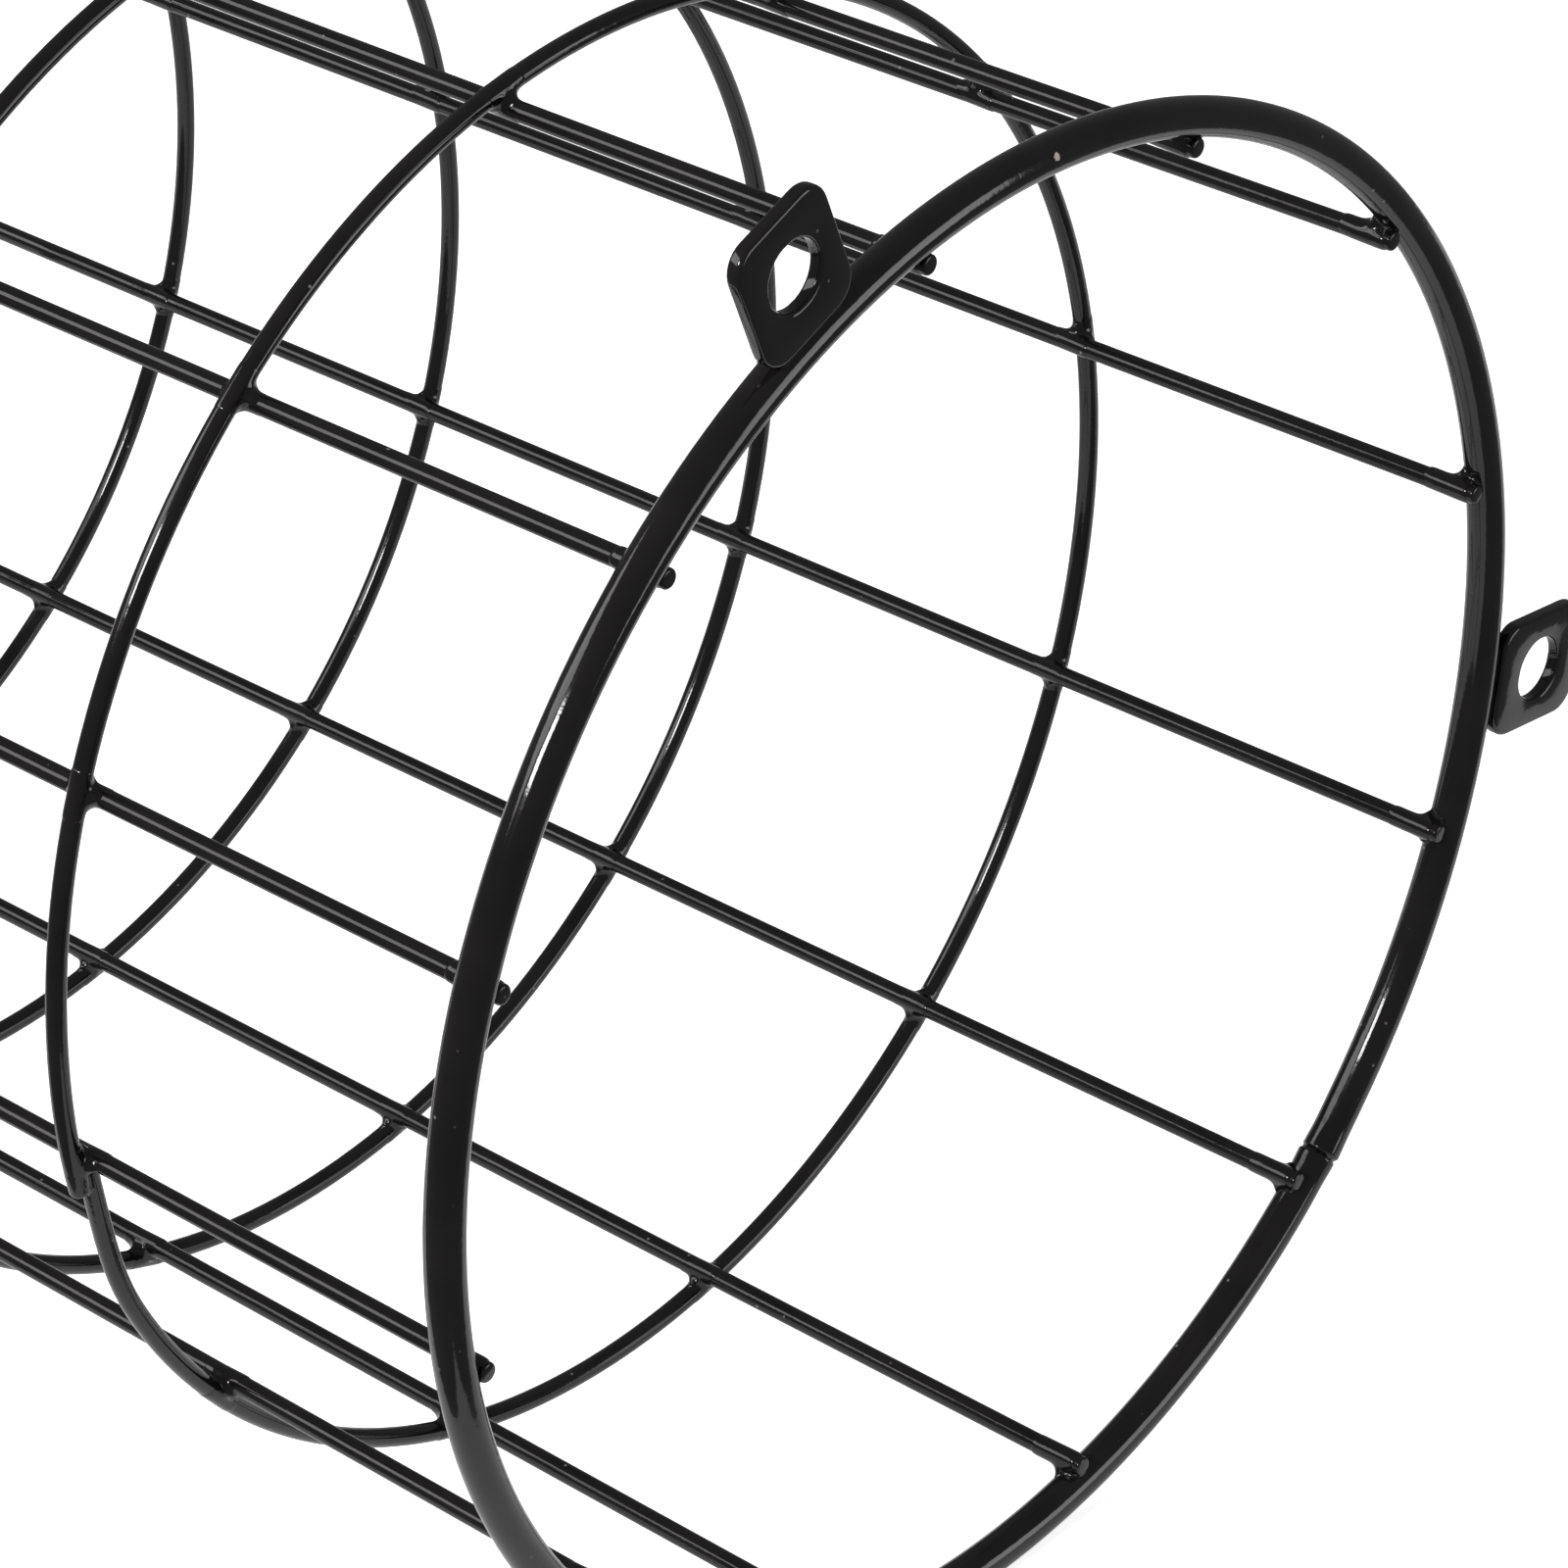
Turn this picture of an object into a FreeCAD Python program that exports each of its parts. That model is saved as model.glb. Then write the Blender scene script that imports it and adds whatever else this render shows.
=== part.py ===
import FreeCAD, Part
import os
import Sketcher

# Bulb cage guard: a welded wire cage with a heavy base ring, thinner hoops, stay wires and fixing tabs.
# The cage axis lies along +Y from the fixing plane (y = 0) to the closed end, as on a wall. +Z is up.
# Angles go round the axis from +Z towards +X.

doc = FreeCAD.newDocument("bulb_cage_guard")
AXIS = FreeCAD.Vector(0, 1, 0)
ALONG_AXIS = FreeCAD.Rotation(FreeCAD.Vector(1, 0, 0), -90)
ACROSS_WIRE = FreeCAD.Rotation(FreeCAD.Vector(1, 1, 1), 120)

# Driving dimensions, in millimetres and degrees
SIZES = {
    "base_ring_radius": 58.6,
    "base_wire": 2.8,
    "hoop_wire": 1.4,
    "stay_wire": 1.4,
    "wire_flats": 8,
    "weld_gap": 0.02,
    "hoop_1_station": 39.2,
    "hoop_2_station": 72.5,
    "hoop_3_station": 107.5,
    "hoop_4_station": 138.5,
    "stay_taper": 0.9,
    "stay_first_angle": 19.7,
    "stay_tip": 0.5,
    "end_station": 171,
    "end_bend_radius": 8,
    "end_disc_radius": 9,
    "end_disc_thickness": 1.2,
    "spoke_inner_radius": 4,
    "tab_width": 9.4,
    "tab_hole_offset": 5.4,
    "tab_hole_margin": 5.2,
    "tab_thickness": 1.2,
    "tab_corner": 2,
    "tab_edge": 0.25,
    "tab_first_angle": -22,
    "fixing_hole": 5.2,
}
STAY_COUNT = 12
HOOP_COUNT = 4
TAB_COUNT = 3

sheet = doc.addObject("Spreadsheet::Sheet", "Sizes")
for row, (alias, value) in enumerate(SIZES.items(), start=1):
    sheet.set(f"A{row}", alias)
    sheet.set(f"B{row}", str(value))
    sheet.setAlias(f"B{row}", alias)
doc.recompute()

# Where the pieces meet: the base ring's middle plane, its outer edge and the stays' centreline inside it
BASE_CENTRE = "Sizes.base_wire / 2"
RING_EDGE = "(Sizes.base_ring_radius + Sizes.base_wire / 2 + Sizes.weld_gap)"
STAY_AT_BASE = "(Sizes.base_ring_radius - Sizes.base_wire / 2 - Sizes.stay_wire / 2 - Sizes.weld_gap)"


def stay_radius(station):
    """Expression for the stays' centreline radius at a distance along the axis."""
    return f"({STAY_AT_BASE} - ({station} - {BASE_CENTRE}) * tan(Sizes.stay_taper * 1 deg))"


def dimension(sketch, kind, where, name, expression):
    """Add a named dimension to a sketch and bind it to the sheet."""
    index = sketch.addConstraint(Sketcher.Constraint(kind, *where))
    sketch.renameConstraint(index, name)
    sketch.setExpression(f"Constraints.{name}", expression)


def turn(piece, first_angle, step, index):
    """Turn a piece round the cage axis to its place in an even pattern."""
    piece.Placement = FreeCAD.Placement(FreeCAD.Vector(), FreeCAD.Rotation(AXIS, 1))
    piece.setExpression("Placement.Rotation.Angle", f"{first_angle} + {step * index}")


def wire_section(name, gauge, facing):
    """The wire's section. Its gauge is over flats, so that wires bear face to face at their welds."""
    section = doc.addObject("Part::RegularPolygon", name)
    half_flat = FreeCAD.Rotation(FreeCAD.Vector(0, 0, 1), 180 / SIZES["wire_flats"])
    section.Placement = FreeCAD.Placement(FreeCAD.Vector(), facing * half_flat)
    section.setExpression("Polygon", "Sizes.wire_flats")
    section.setExpression("Circumradius", f"{gauge} / 2 / cos(180 deg / Sizes.wire_flats)")
    return section


def make_ring(name, radius, gauge, station):
    """A ring of wire, square to the cage axis."""
    section = wire_section(f"{name}_section", gauge, ACROSS_WIRE)
    section.setExpression("Placement.Base.y", station)
    section.setExpression("Placement.Base.z", radius)
    ring = doc.addObject("Part::Revolution", name)
    ring.Source = section
    ring.Axis = AXIS
    ring.Angle = 360
    ring.Solid = True
    return ring


def make_stay(index):
    """One bent wire: along the side of the cage, round the end bend and in to the end disc."""
    number = f"{index + 1:02d}"
    tip, end = SIZES["stay_tip"], SIZES["end_station"]
    bend, inner = SIZES["end_bend_radius"], SIZES["spoke_inner_radius"]
    side = SIZES["base_ring_radius"]

    path = doc.addObject("Sketcher::SketchObject", f"stay_path_{number}")
    path.Placement = FreeCAD.Placement(FreeCAD.Vector(), ACROSS_WIRE)
    path.addGeometry(Part.LineSegment(FreeCAD.Vector(tip, side), FreeCAD.Vector(end - bend, side)))
    centre = FreeCAD.Vector(end - bend, side - bend)
    path.addGeometry(Part.ArcOfCircle(Part.Circle(centre, FreeCAD.Vector(0, 0, 1), bend), 0, 1.57))
    path.addGeometry(Part.LineSegment(FreeCAD.Vector(end, side - bend), FreeCAD.Vector(end, inner)))
    path.addConstraint(Sketcher.Constraint("Tangent", 0, 2, 1, 2))
    path.addConstraint(Sketcher.Constraint("Tangent", 1, 1, 2, 1))
    path.addConstraint(Sketcher.Constraint("Vertical", 2))
    dimension(path, "Radius", (1, bend), "bend", "Sizes.end_bend_radius")
    dimension(path, "DistanceX", (-1, 1, 0, 1, tip), "tip", "Sizes.stay_tip")
    dimension(path, "DistanceY", (-1, 1, 0, 1, side), "side", stay_radius("Sizes.stay_tip"))
    dimension(path, "Angle", (0, -0.01), "taper", "-Sizes.stay_taper")
    dimension(path, "DistanceX", (-1, 1, 2, 2, end), "end", "Sizes.end_station")
    dimension(path, "DistanceY", (-1, 1, 2, 2, inner), "inner", "Sizes.spoke_inner_radius")

    section = wire_section(f"stay_section_{number}", "Sizes.stay_wire", ALONG_AXIS)
    section.setExpression("Placement.Base.y", "Sizes.stay_tip")
    section.setExpression("Placement.Base.z", stay_radius("Sizes.stay_tip"))

    stay = doc.addObject("Part::Sweep", f"stay_wire_{number}")
    stay.Sections = [section]
    stay.Spine = (path, ["Edge1", "Edge2", "Edge3"])
    stay.Solid = True
    turn(stay, "Sizes.stay_first_angle", 360 / STAY_COUNT, index)
    return stay


def make_tab(index):
    """A flat tab with a fixing hole. Its front is in the fixing plane, its inner edge on the base ring."""
    number = index + 1
    body = doc.addObject("PartDesign::Body", f"fixing_tab_{number}")
    half = SIZES["tab_width"] / 2
    inside = SIZES["base_ring_radius"] + SIZES["base_wire"] / 2
    hole_at = inside + SIZES["tab_hole_offset"]
    outside = hole_at + SIZES["tab_hole_margin"]
    origin, normal = FreeCAD.Vector(), FreeCAD.Vector(0, 0, 1)

    outline = body.newObject("Sketcher::SketchObject", f"tab_outline_{number}")
    fixing_plane = next(feature for feature in body.Origin.OriginFeatures if feature.Role == "XZ_Plane")
    outline.AttachmentSupport = [(fixing_plane, "")]
    outline.MapMode = "FlatFace"
    outline.addGeometry(Part.ArcOfCircle(Part.Circle(origin, normal, inside), 1.5, 1.65))
    corners = [(half, inside), (half, outside), (-half, outside), (-half, inside)]
    for start, stop in zip(corners, corners[1:]):
        outline.addGeometry(Part.LineSegment(FreeCAD.Vector(*start), FreeCAD.Vector(*stop)))
    outline.addGeometry(Part.Circle(FreeCAD.Vector(0, hole_at), normal, SIZES["fixing_hole"] / 2))
    for first, end, second, start in ((0, 1, 1, 1), (1, 2, 2, 1), (2, 2, 3, 1), (3, 2, 0, 2)):
        outline.addConstraint(Sketcher.Constraint("Coincident", first, end, second, start))
    outline.addConstraint(Sketcher.Constraint("Coincident", 0, 3, -1, 1))
    outline.addConstraint(Sketcher.Constraint("Vertical", 1))
    outline.addConstraint(Sketcher.Constraint("Vertical", 3))
    outline.addConstraint(Sketcher.Constraint("Symmetric", 2, 1, 2, 2, -2))
    outline.addConstraint(Sketcher.Constraint("PointOnObject", 4, 3, -2))
    dimension(outline, "Radius", (0, inside), "inside", RING_EDGE)
    dimension(outline, "DistanceX", (2, 2, 2, 1, 2 * half), "width", "Sizes.tab_width")
    hole_radius = f"{RING_EDGE} + Sizes.tab_hole_offset"
    dimension(outline, "DistanceY", (-1, 1, 4, 3, hole_at), "hole_at", hole_radius)
    dimension(outline, "DistanceY", (4, 3, 2, 1, outside - hole_at), "margin", "Sizes.tab_hole_margin")
    dimension(outline, "Diameter", (4, SIZES["fixing_hole"]), "hole", "Sizes.fixing_hole")

    plate = body.newObject("PartDesign::Pad", f"tab_pad_{number}")
    plate.Profile = outline
    plate.Reversed = True
    plate.setExpression("Length", "Sizes.tab_thickness")
    doc.recompute()

    rounding = body.newObject("PartDesign::Fillet", f"tab_corners_{number}")
    rounding.Base = (plate, corner_edges(plate.Shape))
    rounding.setExpression("Radius", "Sizes.tab_corner")
    doc.recompute()

    easing = body.newObject("PartDesign::Chamfer", f"tab_edges_{number}")
    easing.Base = (rounding, front_edges(rounding.Shape))
    easing.setExpression("Size", "Sizes.tab_edge")
    turn(body, "Sizes.tab_first_angle", 360 / TAB_COUNT, index)
    return body


def corner_edges(shape):
    """The edges through the thickness of a tab at its four corners, and not the hole's seam."""
    side = 0.99 * shape.BoundBox.XMax
    return [f"Edge{number}" for number, edge in enumerate(shape.Edges, start=1)
            if abs(edge.CenterOfMass.x) > side and edge.BoundBox.ZLength < edge.Length / 2]


def front_edges(shape):
    """The edges of a tab's front face, apart from the hole's."""
    front = min(shape.Faces, key=lambda face: face.CenterOfMass.y)
    return [f"Edge{number}" for number, edge in enumerate(shape.Edges, start=1)
            if any(edge.isSame(other) for other in front.OuterWire.Edges)]


base_ring = make_ring("base_ring", "Sizes.base_ring_radius", "Sizes.base_wire", BASE_CENTRE)
hoops = []
for number in range(1, HOOP_COUNT + 1):
    station = f"Sizes.hoop_{number}_station"
    radius = f"{stay_radius(station)} + Sizes.stay_wire / 2 + Sizes.weld_gap + Sizes.hoop_wire / 2"
    hoops.append(make_ring(f"hoop_{number}", radius, "Sizes.hoop_wire", station))
stays = [make_stay(index) for index in range(STAY_COUNT)]
tabs = [make_tab(index) for index in range(TAB_COUNT)]

end_disc = doc.addObject("Part::Cylinder", "end_disc")
end_disc.Placement = FreeCAD.Placement(FreeCAD.Vector(), ALONG_AXIS)
end_disc.setExpression("Radius", "Sizes.end_disc_radius")
end_disc.setExpression("Height", "Sizes.end_disc_thickness")
end_disc.setExpression("Placement.Base.y", "Sizes.end_station + Sizes.stay_wire / 2 + Sizes.weld_gap")
doc.recompute()

for item in doc.Objects:
    if {"Invalid", "Error"} & set(item.State):
        raise RuntimeError(f"{item.Label} did not build: {item.State}")

os.makedirs("parts", exist_ok=True)
for piece in [base_ring] + hoops + stays + tabs + [end_disc]:
    if piece.Shape.isNull() or not piece.Shape.isValid():
        raise RuntimeError(f"{piece.Label} has no valid shape")
    piece.Shape.exportStep(f"parts/{piece.Label}.step")
    print(piece.Label, len(piece.Shape.Solids), "solid", round(piece.Shape.Volume, 1), "mm3")
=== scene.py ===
# %% [markdown]
# # A welded bulb cage, dressed in black powder coat
# The cage comes in as solids whose sizes are settled. Here every wire gets a smooth coated skin, the welds get
# their small webs, and the finish, light and camera follow the photograph. All lengths are in metres.

# %% Load the frame
import bpy
from math import atan, atan2, cos, degrees, pi, radians, sin, tau
from mathutils import Matrix, Vector


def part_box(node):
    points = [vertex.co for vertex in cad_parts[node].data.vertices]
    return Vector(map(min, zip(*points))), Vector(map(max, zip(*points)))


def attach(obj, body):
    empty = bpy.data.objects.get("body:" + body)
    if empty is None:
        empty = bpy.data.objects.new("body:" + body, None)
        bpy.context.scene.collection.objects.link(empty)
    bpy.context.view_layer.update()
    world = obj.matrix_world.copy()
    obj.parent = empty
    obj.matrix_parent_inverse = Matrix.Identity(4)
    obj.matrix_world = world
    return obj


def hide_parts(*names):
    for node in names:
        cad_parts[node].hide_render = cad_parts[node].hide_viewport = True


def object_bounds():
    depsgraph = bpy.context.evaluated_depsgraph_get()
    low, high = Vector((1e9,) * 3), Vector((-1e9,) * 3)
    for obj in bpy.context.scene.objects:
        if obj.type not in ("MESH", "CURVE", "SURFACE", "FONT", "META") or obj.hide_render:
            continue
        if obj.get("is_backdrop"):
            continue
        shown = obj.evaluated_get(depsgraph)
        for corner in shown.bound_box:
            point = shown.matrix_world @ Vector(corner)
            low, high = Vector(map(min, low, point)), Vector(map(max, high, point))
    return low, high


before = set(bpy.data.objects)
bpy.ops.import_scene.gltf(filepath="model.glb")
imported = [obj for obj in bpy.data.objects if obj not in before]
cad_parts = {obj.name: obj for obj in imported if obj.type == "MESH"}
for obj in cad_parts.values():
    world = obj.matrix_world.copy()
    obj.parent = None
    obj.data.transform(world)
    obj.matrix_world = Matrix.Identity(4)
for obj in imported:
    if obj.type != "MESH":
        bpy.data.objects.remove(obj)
cad_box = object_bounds()
MM = 0.001
print("nodes:", len(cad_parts))

# %% [markdown]
# ## Measure the cage
# Nothing is typed in twice: the rings' radii, stations and wire gauges are read from the boxes of the solids. The
# stays lean in a little towards the closed end, so the lean comes from how the hoops shrink along the axis. Angles
# go round the cage axis from the top towards +X.


# %% Read sizes from the solids
def ring_sizes(node):
    """Centreline radius, wire radius and station of a ring that lies square to the Y axis."""
    low, high = (Vector(corner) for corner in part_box(node))
    wire = (high.y - low.y) / 2
    return high.z - wire, wire, (high.y + low.y) / 2


def even_angles(first, names):
    return [radians(first) + tau * index / len(names) for index in range(len(names))]


HOOPS = ["hoop_1", "hoop_2", "hoop_3", "hoop_4"]
STAYS = sorted(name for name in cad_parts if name.startswith("stay_wire"))
TABS = sorted(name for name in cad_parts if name.startswith("fixing_tab"))
FIRST_STAY_DEGREES, FIRST_TAB_DEGREES = 19.7, -22
STAY_ANGLES = even_angles(FIRST_STAY_DEGREES, STAYS)
TAB_ANGLES = even_angles(FIRST_TAB_DEGREES, TABS)

base_radius, base_wire, base_station = ring_sizes("base_ring")
first_radius, stay_wire, first_station = ring_sizes(HOOPS[0])
last_radius, _, last_station = ring_sizes(HOOPS[-1])
lean = (first_radius - last_radius) / (last_station - first_station)
stay_low, stay_high = (Vector(corner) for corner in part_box(STAYS[0]))
stay_tip = stay_low.y
end_station = stay_high.y - stay_wire
END_BEND = 8 * MM
SPOKE_INNER = 4 * MM


def stay_radius(station):
    """Centreline radius of the stays at a distance along the axis: one wire inside the hoops."""
    return first_radius - 2 * stay_wire - lean * (station - first_station)


print("base ring radius", round(base_radius, 5), "lean", round(lean, 4), "end", round(end_station, 5))

# %% [markdown]
# ## Camera
# The photograph looks down into the open end with a long lens. The place and lens were found by matching the five
# rings; the camera stands level, so pointing it along the view direction is enough.

# %% Add the camera
CAMERA_FROM_BASE = Vector((-0.33907, -0.26984, 0.27650))
VIEW_DIRECTION = Vector((0.6468, 0.5541, -0.5240))
LENS_MM = 164.9

bpy.ops.object.camera_add(location=CAMERA_FROM_BASE + Vector((0, base_station, 0)))
camera = bpy.context.object
camera.rotation_euler = VIEW_DIRECTION.to_track_quat("-Z", "Y").to_euler()
camera.data.lens = LENS_MM
camera.data.sensor_width = 36
camera.data.clip_start = 0.01
bpy.context.scene.camera = camera
print("camera at", [round(value, 4) for value in camera.location])

# %% [markdown]
# ## Black powder coat
# Powder melts on as a clear skin over dark pigment, so all the shine comes from the coat layer and the pigment under
# it is left dull. Noise on Object coordinates adds orange peel at two scales, which makes the highlights waver, and
# a few pale specks of dust. One chip shows bare on top of the base ring. The baked film is also a real layer, so
# each wire is drawn thicker than its steel by the film.

# %% Mix the powder coat
CHIP = Vector((2.57, 0.07, 58.99)) * MM
CHIP_SIZE = 0.5 * MM
DARK_PIGMENT, PALE_PIGMENT = (0.0042, 0.0036, 0.0036), (0.0078, 0.0068, 0.0068)
DUST, BARE_STEEL = (0.16, 0.155, 0.15), (0.5, 0.42, 0.38)


def powder_coat():
    coat = bpy.data.materials.new("black_powder_coat")
    coat.use_nodes = True
    tree = coat.node_tree
    shader = tree.nodes["Principled BSDF"]
    shader.inputs["Specular IOR Level"].default_value = 0
    shader.inputs["Coat Weight"].default_value = 0.55
    shader.inputs["Coat IOR"].default_value = 1.5
    shader.inputs["Coat Roughness"].default_value = 0.09
    place = tree.nodes.new("ShaderNodeTexCoord").outputs["Object"]

    def noise(scale, detail):
        node = tree.nodes.new("ShaderNodeTexNoise")
        node.inputs["Scale"].default_value = scale
        node.inputs["Detail"].default_value = detail
        tree.links.new(place, node.inputs["Vector"])
        return node.outputs["Fac"]

    def ramp(source, stops):
        node = tree.nodes.new("ShaderNodeValToRGB")
        for element, (position, colour) in zip(node.color_ramp.elements, stops):
            element.position = position
            element.color = (*colour, 1)
        tree.links.new(source, node.inputs["Fac"])
        return node.outputs["Color"]

    def math(operation, first, second):
        node = tree.nodes.new("ShaderNodeMath")
        node.operation = operation
        for socket, value in zip(node.inputs, (first, second)):
            if isinstance(value, float):
                socket.default_value = value
            else:
                tree.links.new(value, socket)
        return node.outputs[0]

    def blend(amount, under, over):
        node = tree.nodes.new("ShaderNodeMix")
        node.data_type = "RGBA"
        node.inputs["B"].default_value = (*over, 1)
        tree.links.new(amount, node.inputs["Factor"])
        tree.links.new(under, node.inputs["A"])
        return node.outputs["Result"]

    skin = ramp(noise(160, 3), [(0.3, DARK_PIGMENT), (0.7, PALE_PIGMENT)])
    cells = tree.nodes.new("ShaderNodeTexVoronoi")
    cells.inputs["Scale"].default_value = 520
    tree.links.new(place, cells.inputs["Vector"])
    dots = ramp(cells.outputs["Distance"], [(0.04, (1, 1, 1)), (0.08, (0, 0, 0))])
    patches = ramp(noise(70, 2), [(0.46, (0, 0, 0)), (0.58, (1, 1, 1))])
    dusted = blend(math("MULTIPLY", dots, patches), skin, DUST)

    away = tree.nodes.new("ShaderNodeVectorMath")
    away.operation = "DISTANCE"
    away.inputs[1].default_value = CHIP
    tree.links.new(place, away.inputs[0])
    ragged = math("MULTIPLY", noise(3000, 1), 0.9 * CHIP_SIZE)
    bare = math("LESS_THAN", math("ADD", away.outputs["Value"], ragged), CHIP_SIZE)
    tree.links.new(blend(bare, dusted, BARE_STEEL), shader.inputs["Base Color"])

    tree.links.new(ramp(noise(240, 2), [(0.3, (0.30,) * 3), (0.7, (0.42,) * 3)]), shader.inputs["Roughness"])
    waves = math("MULTIPLY", noise(330, 1), 3.0)
    peel = tree.nodes.new("ShaderNodeBump")
    peel.inputs["Strength"].default_value = 0.2
    peel.inputs["Distance"].default_value = 0.04 * MM
    tree.links.new(math("ADD", noise(1500, 2), waves), peel.inputs["Height"])
    tree.links.new(peel.outputs["Normal"], shader.inputs["Normal"])
    tree.links.new(peel.outputs["Normal"], shader.inputs["Coat Normal"])
    return coat


COAT_FILM = 0.07 * MM
COAT = powder_coat()
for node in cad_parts.values():
    node.data.materials.clear()
    node.data.materials.append(COAT)
print("coat on", len(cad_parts), "nodes")

# %% [markdown]
# ## Helpers for modelling
# Operators act on whatever is selected, so each piece starts with nothing selected and ends with its place written
# into its mesh. A piece that stands round the axis many times is modelled once at the top and turned copy by copy.


# %% Start, finish and copy pieces
MERGE = 0.01 * MM
WIRE_SECTION = 20


def start_clean():
    bpy.ops.object.select_all(action="DESELECT")


def pick(piece):
    start_clean()
    piece.select_set(True)
    bpy.context.view_layer.objects.active = piece


def finish_piece(piece, name, *nodes):
    """Write the piece's place into its mesh, coat it and tie it to the frame."""
    piece.name = name
    piece.data.name = name
    pick(piece)
    bpy.ops.object.transform_apply(location=True, rotation=True, scale=True)
    bpy.ops.object.shade_smooth_by_angle(angle=radians(50))
    piece.data.materials.clear()
    piece.data.materials.append(COAT)
    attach(piece, "root")
    if nodes:
        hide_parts(*nodes)
    return piece


def turned_copy(piece, angle):
    """A copy of a piece with its own mesh, turned round the cage axis."""
    twin = piece.copy()
    twin.data = piece.data.copy()
    twin.data.transform(Matrix.Rotation(angle, 4, "Y"))
    bpy.context.collection.objects.link(twin)
    return twin


def join_all(pieces):
    start_clean()
    for piece in pieces:
        piece.select_set(True)
    bpy.context.view_layer.objects.active = pieces[0]
    bpy.ops.object.join()
    return bpy.context.object


# %% Begin and close a wire
def wire_circle(section, radius, place, facing):
    """The round end of a wire, with its place in its mesh, open in edit mode and selected."""
    start_clean()
    bpy.ops.mesh.primitive_circle_add(vertices=section, radius=radius, location=place, rotation=facing)
    circle = bpy.context.object
    bpy.ops.object.transform_apply(location=True, rotation=True, scale=True)
    bpy.ops.object.mode_set(mode="EDIT")
    bpy.ops.mesh.select_all(action="SELECT")
    return circle


def round_rims(round_off):
    """Find the sharp rims of a piece in edit mode and bevel them, as the coating rounds them."""
    bpy.ops.mesh.select_mode(type="EDGE")
    bpy.ops.mesh.select_all(action="DESELECT")
    bpy.ops.mesh.edges_select_sharp(sharpness=radians(60))
    bpy.ops.mesh.bevel(offset=round_off, segments=4, affect="EDGES")
    bpy.ops.mesh.select_mode(type="VERT")


def face_outwards():
    bpy.ops.mesh.select_all(action="SELECT")
    bpy.ops.mesh.normals_make_consistent(inside=False)


def merge_doubles():
    bpy.ops.mesh.select_all(action="SELECT")
    bpy.ops.mesh.remove_doubles(threshold=MERGE)


def close_wire(round_off):
    """Cap the open ends of a wire, round their rims and leave edit mode."""
    merge_doubles()
    bpy.ops.mesh.select_all(action="DESELECT")
    bpy.ops.mesh.select_mode(type="EDGE")
    bpy.ops.mesh.select_non_manifold()
    bpy.ops.mesh.fill_holes(sides=0)
    round_rims(round_off)
    face_outwards()
    bpy.ops.object.mode_set(mode="OBJECT")


def close_ring():
    """Merge the doubled seam of a full turn and leave edit mode."""
    merge_doubles()
    face_outwards()
    bpy.ops.object.mode_set(mode="OBJECT")


# %% [markdown]
# ## Plain hoops
# A ring could be a swept curve, but a circle spun once round the cage axis is how the wire itself was rolled: the
# section is drawn at the top of the cage and spun through a full turn, then the doubled seam is merged. The spin
# tool turns against the right-hand rule, so a minus angle goes from the top towards +X.


# %% Spin the plain hoops
HOOP_STEPS = 200


def spin_round(angle, steps, station):
    bpy.ops.mesh.spin(steps=steps, angle=-angle, center=(0, station, 0), axis=(0, 1, 0))


def start_ring(node, section, first_angle):
    """The circle that a ring is spun from, at an angle round the cage."""
    radius, wire, station = ring_sizes(node)
    place = Vector((radius * sin(first_angle), station, radius * cos(first_angle)))
    return wire_circle(section, wire + COAT_FILM, place, (0, pi / 2 + first_angle, 0)), radius, station


def plain_ring(name, node):
    ring, _, station = start_ring(node, WIRE_SECTION, 0)
    spin_round(tau, HOOP_STEPS, station)
    close_ring()
    return finish_piece(ring, name, node)


hoops = [plain_ring(f"coated_{name}", name) for name in HOOPS[1:]]
print("hoops:", [len(ring.data.polygons) for ring in hoops])

# %% [markdown]
# ## The lapped hoop
# The hoop nearest the base shows how it was closed: its outer end runs just past a stay and stops, square cut, while
# its inner end starts beside that stay. So the wire is spun a little more than a turn, then each end is eased in or
# out by moving its points along the radius.

# %% Spin the lapped hoop
LAP_START, LAP_END = radians(259), radians(258)
LAP_INWARD, LAP_OUTWARD, LAP_EASE = 1 * MM, 0.12 * MM, radians(15)
LAP_STEPS = 260


def ease(distance, reach):
    """Falls smoothly from one at no distance to nothing at the reach."""
    if distance >= reach:
        return 0.0
    return (1 + cos(pi * distance / reach)) / 2


lapped, lap_radius, lap_station = start_ring(HOOPS[0], WIRE_SECTION, LAP_START)
lap_sweep = tau + LAP_START - LAP_END
spin_round(-lap_sweep, LAP_STEPS, lap_station)
bpy.ops.object.mode_set(mode="OBJECT")
for vertex in lapped.data.vertices:
    gone = lap_sweep * (vertex.index // WIRE_SECTION) / LAP_STEPS
    shift = LAP_OUTWARD * ease(lap_sweep - gone, LAP_EASE) - LAP_INWARD * ease(gone, LAP_EASE)
    vertex.co += shift * Vector((vertex.co.x, 0, vertex.co.z)).normalized()
bpy.ops.object.mode_set(mode="EDIT")
close_wire(round_off=0.22 * MM)
lapped = finish_piece(lapped, f"coated_{HOOPS[0]}", HOOPS[0])
print("lapped hoop:", len(lapped.data.polygons), "faces, lap", round(degrees(LAP_START - LAP_END), 1), "degrees")

# %% [markdown]
# ## The base ring and its butt weld
# The thick ring is closed end to end, and the weld shows as a groove with a small step beside it. The spin uses
# fine steps there and coarse ones elsewhere. The points near the weld are then drawn in or pushed out. The swelling
# and the groove are shares of the wire's radius.

# %% Spin the base ring
SEAM = radians(136.7)
SEAM_HALF = radians(5)
GROOVE = radians(0.28)
SEAM_SWELL, GROOVE_DEPTH, SEAM_STEP = 0.05, 0.13, 0.1 * MM
BASE_SECTION, FINE_STEPS, COARSE_STEPS = 32, 120, 230

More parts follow.
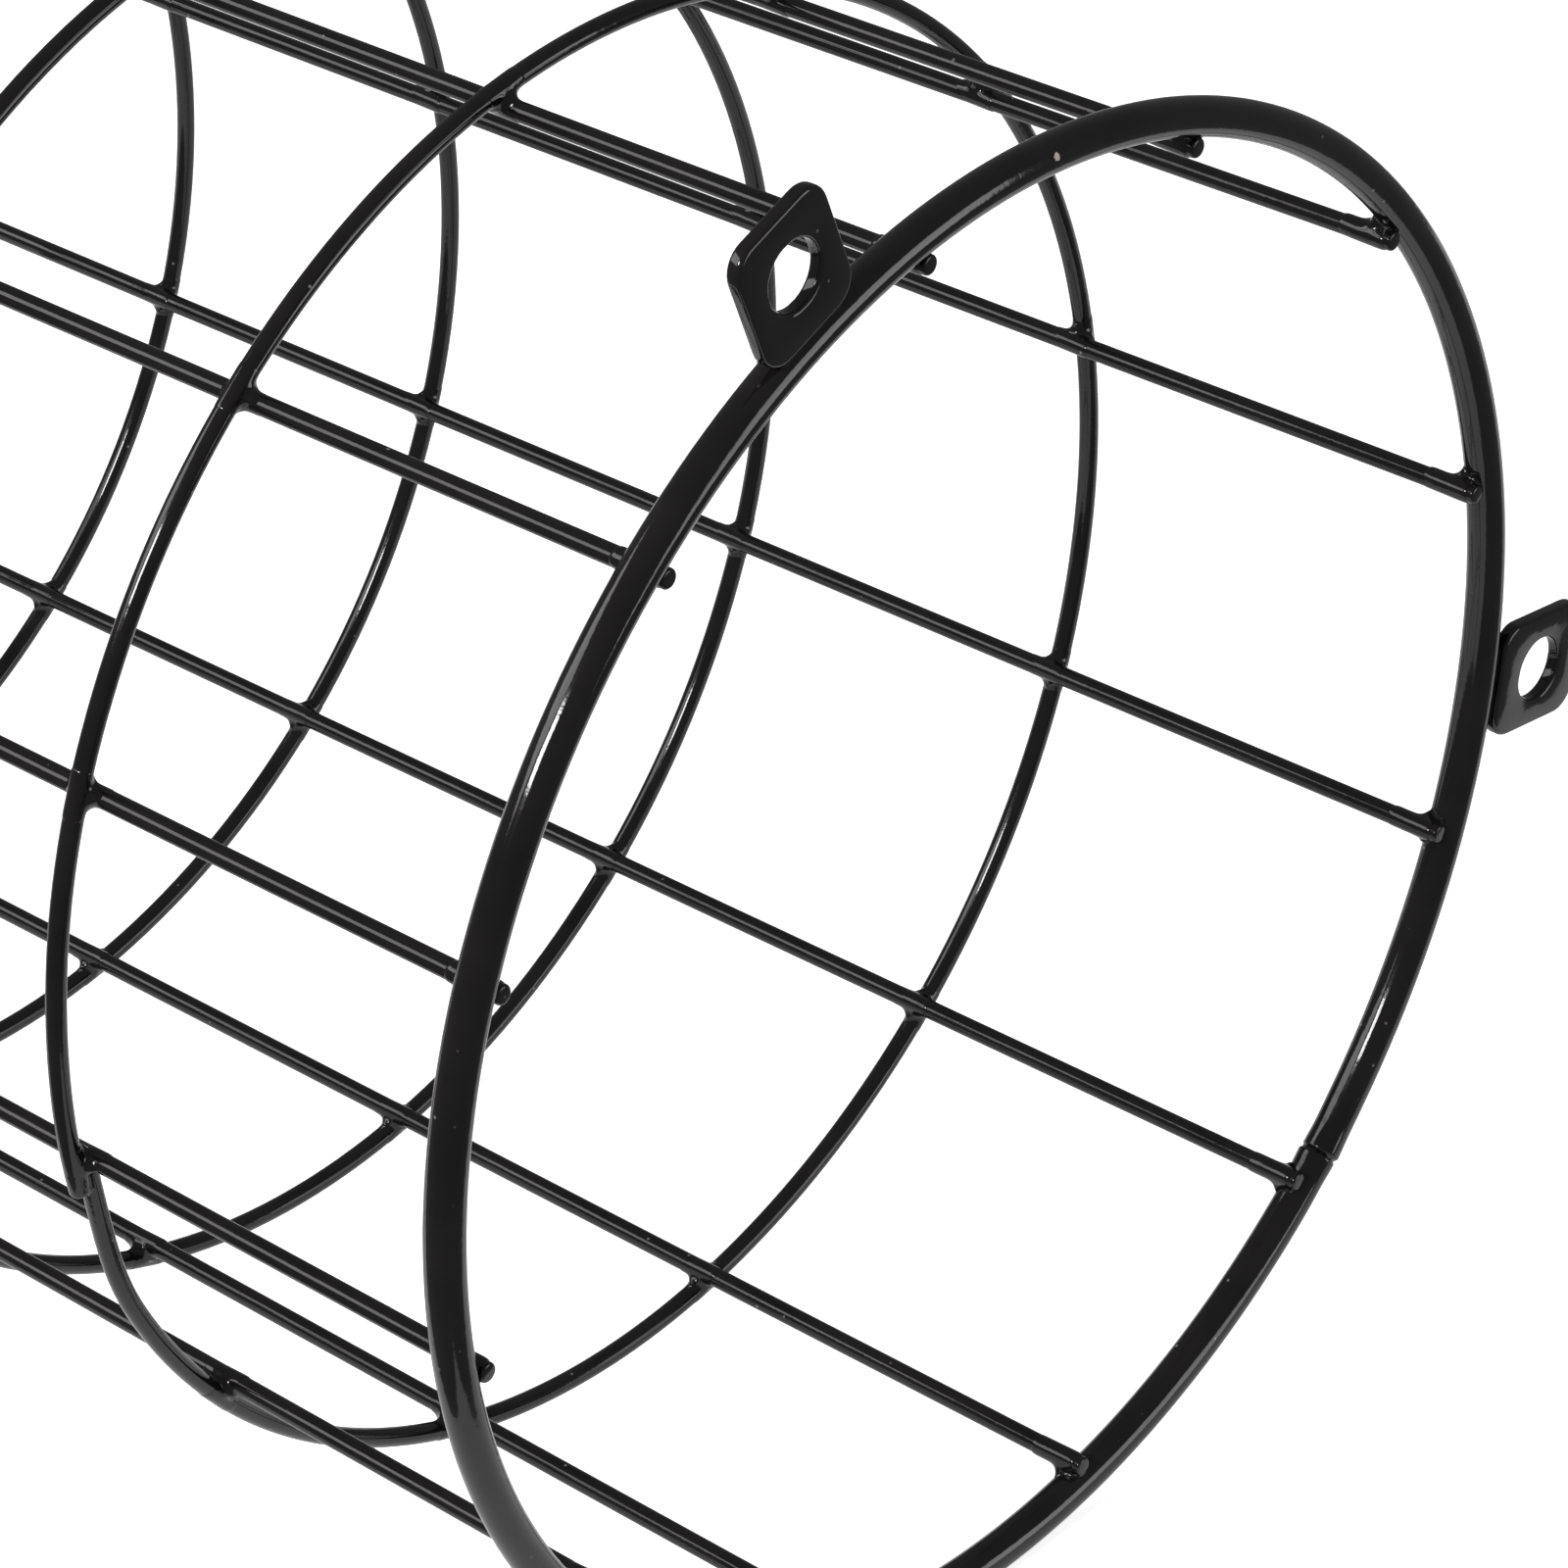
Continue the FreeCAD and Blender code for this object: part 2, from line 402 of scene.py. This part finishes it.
base_ring, _, _ = start_ring("base_ring", BASE_SECTION, SEAM - SEAM_HALF)
spin_round(2 * SEAM_HALF, FINE_STEPS, base_station)
spin_round(tau - 2 * SEAM_HALF, COARSE_STEPS, base_station)
close_ring()
for vertex in base_ring.data.vertices:
    past = atan2(vertex.co.x, vertex.co.z) - SEAM
    if abs(past) < SEAM_HALF:
        outward = Vector((sin(past + SEAM), 0, cos(past + SEAM)))
        centre = outward * base_radius + Vector((0, base_station, 0))
        swell = SEAM_SWELL * ease(abs(past), SEAM_HALF / 2) - GROOVE_DEPTH * ease(abs(past), GROOVE)
        step = SEAM_STEP * ease(abs(past), SEAM_HALF) * (1 if past < 0 else -1)
        vertex.co = centre + (vertex.co - centre) * (1 + swell) + outward * step
base_ring = finish_piece(base_ring, "coated_base_ring", "base_ring")
print("base ring:", len(base_ring.data.polygons), "faces")

# %% [markdown]
# ## Stays
# Each stay is one wire: cut square at the open end, straight along the cage, bent in at the closed end. A circle is
# extruded along the side, spun round the bend and extruded to the end disc. The cut end gets a bevel, because the
# coating rounds it. One stay is modelled at the top and the rest are turned copies.


# %% Model one stay and turn the rest
BEND_STEPS = 14


def coated_stay():
    slope = atan(lean)
    bend_start = end_station - END_BEND * (1 - sin(slope))
    bend_centre = Vector((0, end_station - END_BEND, stay_radius(bend_start) - END_BEND * cos(slope)))
    stay = wire_circle(WIRE_SECTION, stay_wire + COAT_FILM, (0, stay_tip, stay_radius(stay_tip)), (pi / 2, 0, 0))
    run = Vector((0, bend_start - stay_tip, stay_radius(bend_start) - stay_radius(stay_tip)))
    bpy.ops.mesh.extrude_region_move(TRANSFORM_OT_translate={"value": run})
    bpy.ops.mesh.spin(steps=BEND_STEPS, angle=pi / 2 - slope, center=bend_centre, axis=(1, 0, 0))
    bpy.ops.mesh.extrude_region_move(TRANSFORM_OT_translate={"value": (0, 0, SPOKE_INNER - bend_centre.z)})
    close_wire(round_off=0.2 * MM)
    return stay


model_stay = coated_stay()
for number, (node, angle) in enumerate(zip(STAYS, STAY_ANGLES), start=1):
    finish_piece(turned_copy(model_stay, angle), f"coated_stay_{number:02d}", node)
bpy.data.objects.remove(model_stay)
first_stay = bpy.data.objects["coated_stay_01"]
reach = [max(corner[axis] for corner in first_stay.bound_box) for axis in range(3)]
print("stay reaches", [round(value, 4) for value in reach], "solid reaches", [round(value, 4) for value in stay_high])

# %% [markdown]
# ## Fixing tabs
# A tab is a stamped plate with soft edges. A plane gets round corners by a vertex bevel, a circle bridged to its
# outline makes the hole, and one extrusion gives the thickness. The sharp rims are then bevelled, because powder
# pulls back from an edge and rounds it.

# %% Model one tab and turn the rest
TAB_WIDTH, TAB_THICKNESS = 9.4 * MM, 1.2 * MM
TAB_INNER = base_radius + base_wire
TAB_HOLE_AT, TAB_OUTER = TAB_INNER + 5.42 * MM, TAB_INNER + 10.62 * MM
TAB_HOLE, TAB_CORNER = 2.6 * MM, 2 * MM
CORNER_STEPS = 8

start_clean()
bpy.ops.mesh.primitive_plane_add(size=1, location=(0, 0, (TAB_INNER + TAB_OUTER) / 2), rotation=(pi / 2, 0, 0))
model_tab = bpy.context.object
model_tab.scale = (TAB_WIDTH, TAB_OUTER - TAB_INNER, 1)
bpy.ops.object.transform_apply(location=True, rotation=True, scale=True)
bpy.ops.object.mode_set(mode="EDIT")
bpy.ops.mesh.select_all(action="SELECT")
bpy.ops.mesh.bevel(offset=TAB_CORNER, segments=CORNER_STEPS, affect="VERTICES")
bpy.ops.mesh.select_all(action="SELECT")
bpy.ops.mesh.delete(type="ONLY_FACE")
bpy.ops.mesh.primitive_circle_add(vertices=4 * (CORNER_STEPS + 1), radius=TAB_HOLE, location=(0, 0, TAB_HOLE_AT),
                                  rotation=(pi / 2, 0, 0))
bpy.ops.mesh.select_all(action="SELECT")
bpy.ops.mesh.bridge_edge_loops()
bpy.ops.mesh.select_all(action="SELECT")
bpy.ops.mesh.extrude_region_move(TRANSFORM_OT_translate={"value": (0, TAB_THICKNESS, 0)})
face_outwards()
round_rims(round_off=0.32 * MM)
bpy.ops.object.mode_set(mode="OBJECT")
for number, (node, angle) in enumerate(zip(TABS, TAB_ANGLES), start=1):
    finish_piece(turned_copy(model_tab, angle), f"coated_tab_{number}", node)
print("tab:", len(model_tab.data.polygons), "faces")
bpy.data.objects.remove(model_tab)

# %% [markdown]
# ## End disc
# The stays meet on a small stamped disc. It lies outside the photograph, so it stays plain: a short cylinder whose
# two rims are found by their sharpness and rounded by a bevel.

# %% Press the end disc
disc_low, disc_high = (Vector(corner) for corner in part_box("end_disc"))
start_clean()
bpy.ops.mesh.primitive_cylinder_add(vertices=64, radius=disc_high.x, depth=disc_high.y - disc_low.y,
                                    location=(disc_low + disc_high) / 2, rotation=(-pi / 2, 0, 0))
disc = bpy.context.object
bpy.ops.object.transform_apply(location=True, rotation=True, scale=True)
bpy.ops.object.mode_set(mode="EDIT")
round_rims(round_off=0.3 * MM)
bpy.ops.object.mode_set(mode="OBJECT")
disc = finish_piece(disc, "coated_end_disc", "end_disc")
print("end disc:", len(disc.data.polygons), "faces")

# %% [markdown]
# ## Weld webs
# Where two wires are welded, the coating flows into the corners. That shape is hard to draw and easy to grow: two
# short rods and a diamond pad between them are fused by a voxel remesh and then smoothed, which fills the inner
# corners and thins the rods. The thinned rods hide inside the wires, and only the webs stand out. One web is grown
# per kind of weld at the top of the cage, then copied.


# %% Grow and copy webs
WEB_VOXEL = 0.1 * MM
SHARE_KEPT = 0.3


def rod(radius, length, place, facing):
    start_clean()
    bpy.ops.mesh.primitive_cylinder_add(vertices=32, radius=radius, depth=length, location=place, rotation=facing)
    return bpy.context.object


def pad(half_across, half_along, thickness, place):
    """A diamond between two wires, with its corners along them."""
    start_clean()
    bpy.ops.mesh.primitive_cylinder_add(vertices=4, radius=1, depth=thickness, location=place)
    bpy.context.object.scale = (half_across, half_along, 1)
    return bpy.context.object


def block(width, depth, height, place):
    start_clean()
    bpy.ops.mesh.primitive_cube_add(size=1, location=place)
    bpy.context.object.scale = (width, depth, height)
    return bpy.context.object


def grow_web(pieces, rounds):
    """Fuse the pieces, let the corners fill by rounds of smoothing, and thin the faces."""
    web = join_all(pieces)
    bpy.ops.object.transform_apply(location=True, rotation=True, scale=True)
    fuse = web.modifiers.new("fuse", "REMESH")
    fuse.mode = "VOXEL"
    fuse.voxel_size = WEB_VOXEL
    flow = web.modifiers.new("flow", "SMOOTH")
    flow.factor = 0.5
    flow.iterations = rounds
    thin = web.modifiers.new("thin", "DECIMATE")
    thin.ratio = SHARE_KEPT
    for modifier in ("fuse", "flow", "thin"):
        bpy.ops.object.modifier_apply(modifier=modifier)
    return web


def copy_webs(web, angles, name):
    copies = [turned_copy(web, angle) for angle in angles]
    bpy.data.objects.remove(web)
    joined = finish_piece(join_all(copies), name)
    print(name, len(joined.data.polygons), "faces")


# %% [markdown]
# ## Welds between hoops and stays
# Each hoop lies on the outside of the twelve stays, so these welds are crossings of two equal wires. The rods start
# a little thicker than the wires, because smoothing thins them, and the pad sits where the wires touch.

# %% Weld the hoops to the stays
ACROSS = (0, pi / 2, 0)
ALONG = (pi / 2 + atan(lean), 0, 0)
THIN_ROD, CROSSING = 0.82 * MM, 4 * MM
HOOP_PAD, HOOP_PAD_THICKNESS = 1.55 * MM, 1.1 * MM

for node in HOOPS:
    radius, wire, station = ring_sizes(node)
    pieces = [rod(THIN_ROD, CROSSING, (0, station, radius), ACROSS),
              rod(THIN_ROD, CROSSING, (0, station, stay_radius(station)), ALONG),
              pad(HOOP_PAD, HOOP_PAD, HOOP_PAD_THICKNESS, (0, station, radius - wire))]
    copy_webs(grow_web(pieces, rounds=60), STAY_ANGLES, f"welds_{node}")

# %% [markdown]
# ## Welds on the base ring
# The stays stop just behind the front of the thick ring, so this web has one thick rod and one thin one, with its
# pad a little behind the ring's middle. More rounds of smoothing give the rounder corner of a big weld.

# %% Weld the stays to the base ring
RING_ROD, RING_WELD = 1.43 * MM, 5.6 * MM
STAY_END_ROD, STAY_WELD = THIN_ROD + 0.07 * MM, 4.6 * MM
RING_PAD_ACROSS, RING_PAD_ALONG, RING_PAD_THICKNESS = 1.4 * MM, 1.2 * MM, 1 * MM
PAD_BEHIND, TIP_LEFT_BARE = 0.9 * MM, 0.3 * MM

stay_weld_at = stay_tip + TIP_LEFT_BARE + STAY_WELD / 2
pieces = [rod(RING_ROD, RING_WELD, (0, base_station, base_radius), ACROSS),
          rod(STAY_END_ROD, STAY_WELD, (0, stay_weld_at, stay_radius(stay_weld_at)), ALONG),
          pad(RING_PAD_ACROSS, RING_PAD_ALONG, RING_PAD_THICKNESS,
              (0, base_station + PAD_BEHIND, base_radius - base_wire))]
copy_webs(grow_web(pieces, rounds=110), STAY_ANGLES, "welds_base_ring")

# %% [markdown]
# ## Welds on the tabs
# A tab is welded along its inner edge. A slab thinner than the plate reaches from the ring into the tab, and the
# smoothing rounds the corner between the two.

# %% Weld the tabs to the base ring
slab = block(TAB_WIDTH - 3 * MM, 0.8 * MM, 3 * MM, (0, 0.75 * MM, TAB_INNER + 0.6 * MM))
ring_rod = rod(RING_ROD - 0.15 * MM, 7.6 * MM, (0, base_station, base_radius), ACROSS)
copy_webs(grow_web([ring_rod, slab], rounds=40), TAB_ANGLES, "welds_tabs")

# %% [markdown]
# ## The lap weld
# The two ends of the lapped hoop lie one over the other for about a millimetre. A small block between two short rods
# becomes the bead that joins them.

# %% Weld the lapped ends together
LAP_ROD, LAP_WELD = THIN_ROD - 0.03 * MM, 2.4 * MM

filler = block(3.2 * MM, 1.2 * MM, 1.2 * MM, (0, lap_station, lap_radius + (LAP_OUTWARD - LAP_INWARD) / 2))
pieces = [rod(LAP_ROD, LAP_WELD, (0, lap_station, lap_radius + LAP_OUTWARD), ACROSS),
          rod(LAP_ROD, LAP_WELD, (0, lap_station, lap_radius - LAP_INWARD), ACROSS), filler]
copy_webs(grow_web(pieces, rounds=40), [(LAP_START + LAP_END) / 2], f"weld_lap_{HOOPS[0]}")

# %% [markdown]
# ## Floor
# The cage lies on a white sheet that fills the picture and ends just outside it, in front and on the left. The
# fronts of the wires then mirror the dim studio, and only their inner edges mirror the white. The sheet is lifted to
# white for the camera and for reflections alike, and it still takes the shadow.

# %% Lay the floor
SHEET_CENTRE, SHEET_SIZE = (0.14, 0.2), (0.46, 0.5)
FLOOR_LIFT = 0.8

start_clean()
bpy.ops.mesh.primitive_plane_add(size=1, location=(*SHEET_CENTRE, -base_radius - base_wire))
floor = bpy.context.object
floor.scale = (*SHEET_SIZE, 1)
floor.name = "studio_floor"
paper = bpy.data.materials.new("white_paper")
paper.use_nodes = True
nodes, links = paper.node_tree.nodes, paper.node_tree.links
shader = nodes["Principled BSDF"]
shader.inputs["Base Color"].default_value = (0.8, 0.8, 0.8, 1)
shader.inputs["Roughness"].default_value = 0.9
shader.inputs["Specular IOR Level"].default_value = 0
shader.inputs["Emission Color"].default_value = (1, 1, 1, 1)
seen = nodes.new("ShaderNodeLightPath")
total = None
for kind in ("Is Camera Ray", "Is Glossy Ray", "Is Transmission Ray"):
    lift = nodes.new("ShaderNodeMath")
    lift.operation = "MULTIPLY_ADD"
    lift.inputs[1].default_value = FLOOR_LIFT
    lift.inputs[2].default_value = 0
    links.new(seen.outputs[kind], lift.inputs[0])
    if total:
        links.new(total, lift.inputs[2])
    total = lift.outputs[0]
links.new(total, shader.inputs["Emission Strength"])
floor.data.materials.append(paper)
floor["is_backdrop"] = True
print("floor", SHEET_SIZE, "at height", round(floor.location.z, 4))

# %% [markdown]
# ## Light
# Thin highlights need lights of the right size in the right place. One on the left draws the bright streaks on the
# rings, a wider one behind draws the grey line along each stay, and one in front draws the soft line along the front
# of the base ring. An even sky fills the rest.

# %% Light the studio
SKY_STRENGTH = 0.3

world = bpy.data.worlds.new("soft_studio")
bpy.context.scene.world = world
world.use_nodes = True
world.node_tree.nodes["Background"].inputs["Color"].default_value = (1, 1, 1, 1)
world.node_tree.nodes["Background"].inputs["Strength"].default_value = SKY_STRENGTH

LIGHTS = {
    "streak_light": (Vector((-0.57, 0.04, 0.38)), 0.2, 0.12, 4),
    "stay_light": (Vector((-0.58, 0.58, 0.52)), 0.66, 0.38, 4.6),
    "front_light": (Vector((0.5, -0.9, 0.05)), 0.5, 0.5, 4.3),
}
for name, (place, length, width, power) in LIGHTS.items():
    bpy.ops.object.light_add(type="AREA", location=place)
    light = bpy.context.object
    light.name = name
    light.rotation_euler = place.to_track_quat("Z", "Y").to_euler()
    light.data.shape = "RECTANGLE"
    light.data.size = length
    light.data.size_y = width
    light.data.energy = power
    light.visible_camera = False
    print(name, power, "W")

bpy.context.scene.view_settings.view_transform = "Standard"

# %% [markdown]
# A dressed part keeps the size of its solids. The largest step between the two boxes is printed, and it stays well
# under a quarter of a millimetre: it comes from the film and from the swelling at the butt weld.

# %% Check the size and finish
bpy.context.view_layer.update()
steps = [abs(a - b) for cad, dressed in zip(cad_box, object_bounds()) for a, b in zip(cad, dressed)]
print("largest step between the boxes", round(max(steps) / MM, 3), "mm")
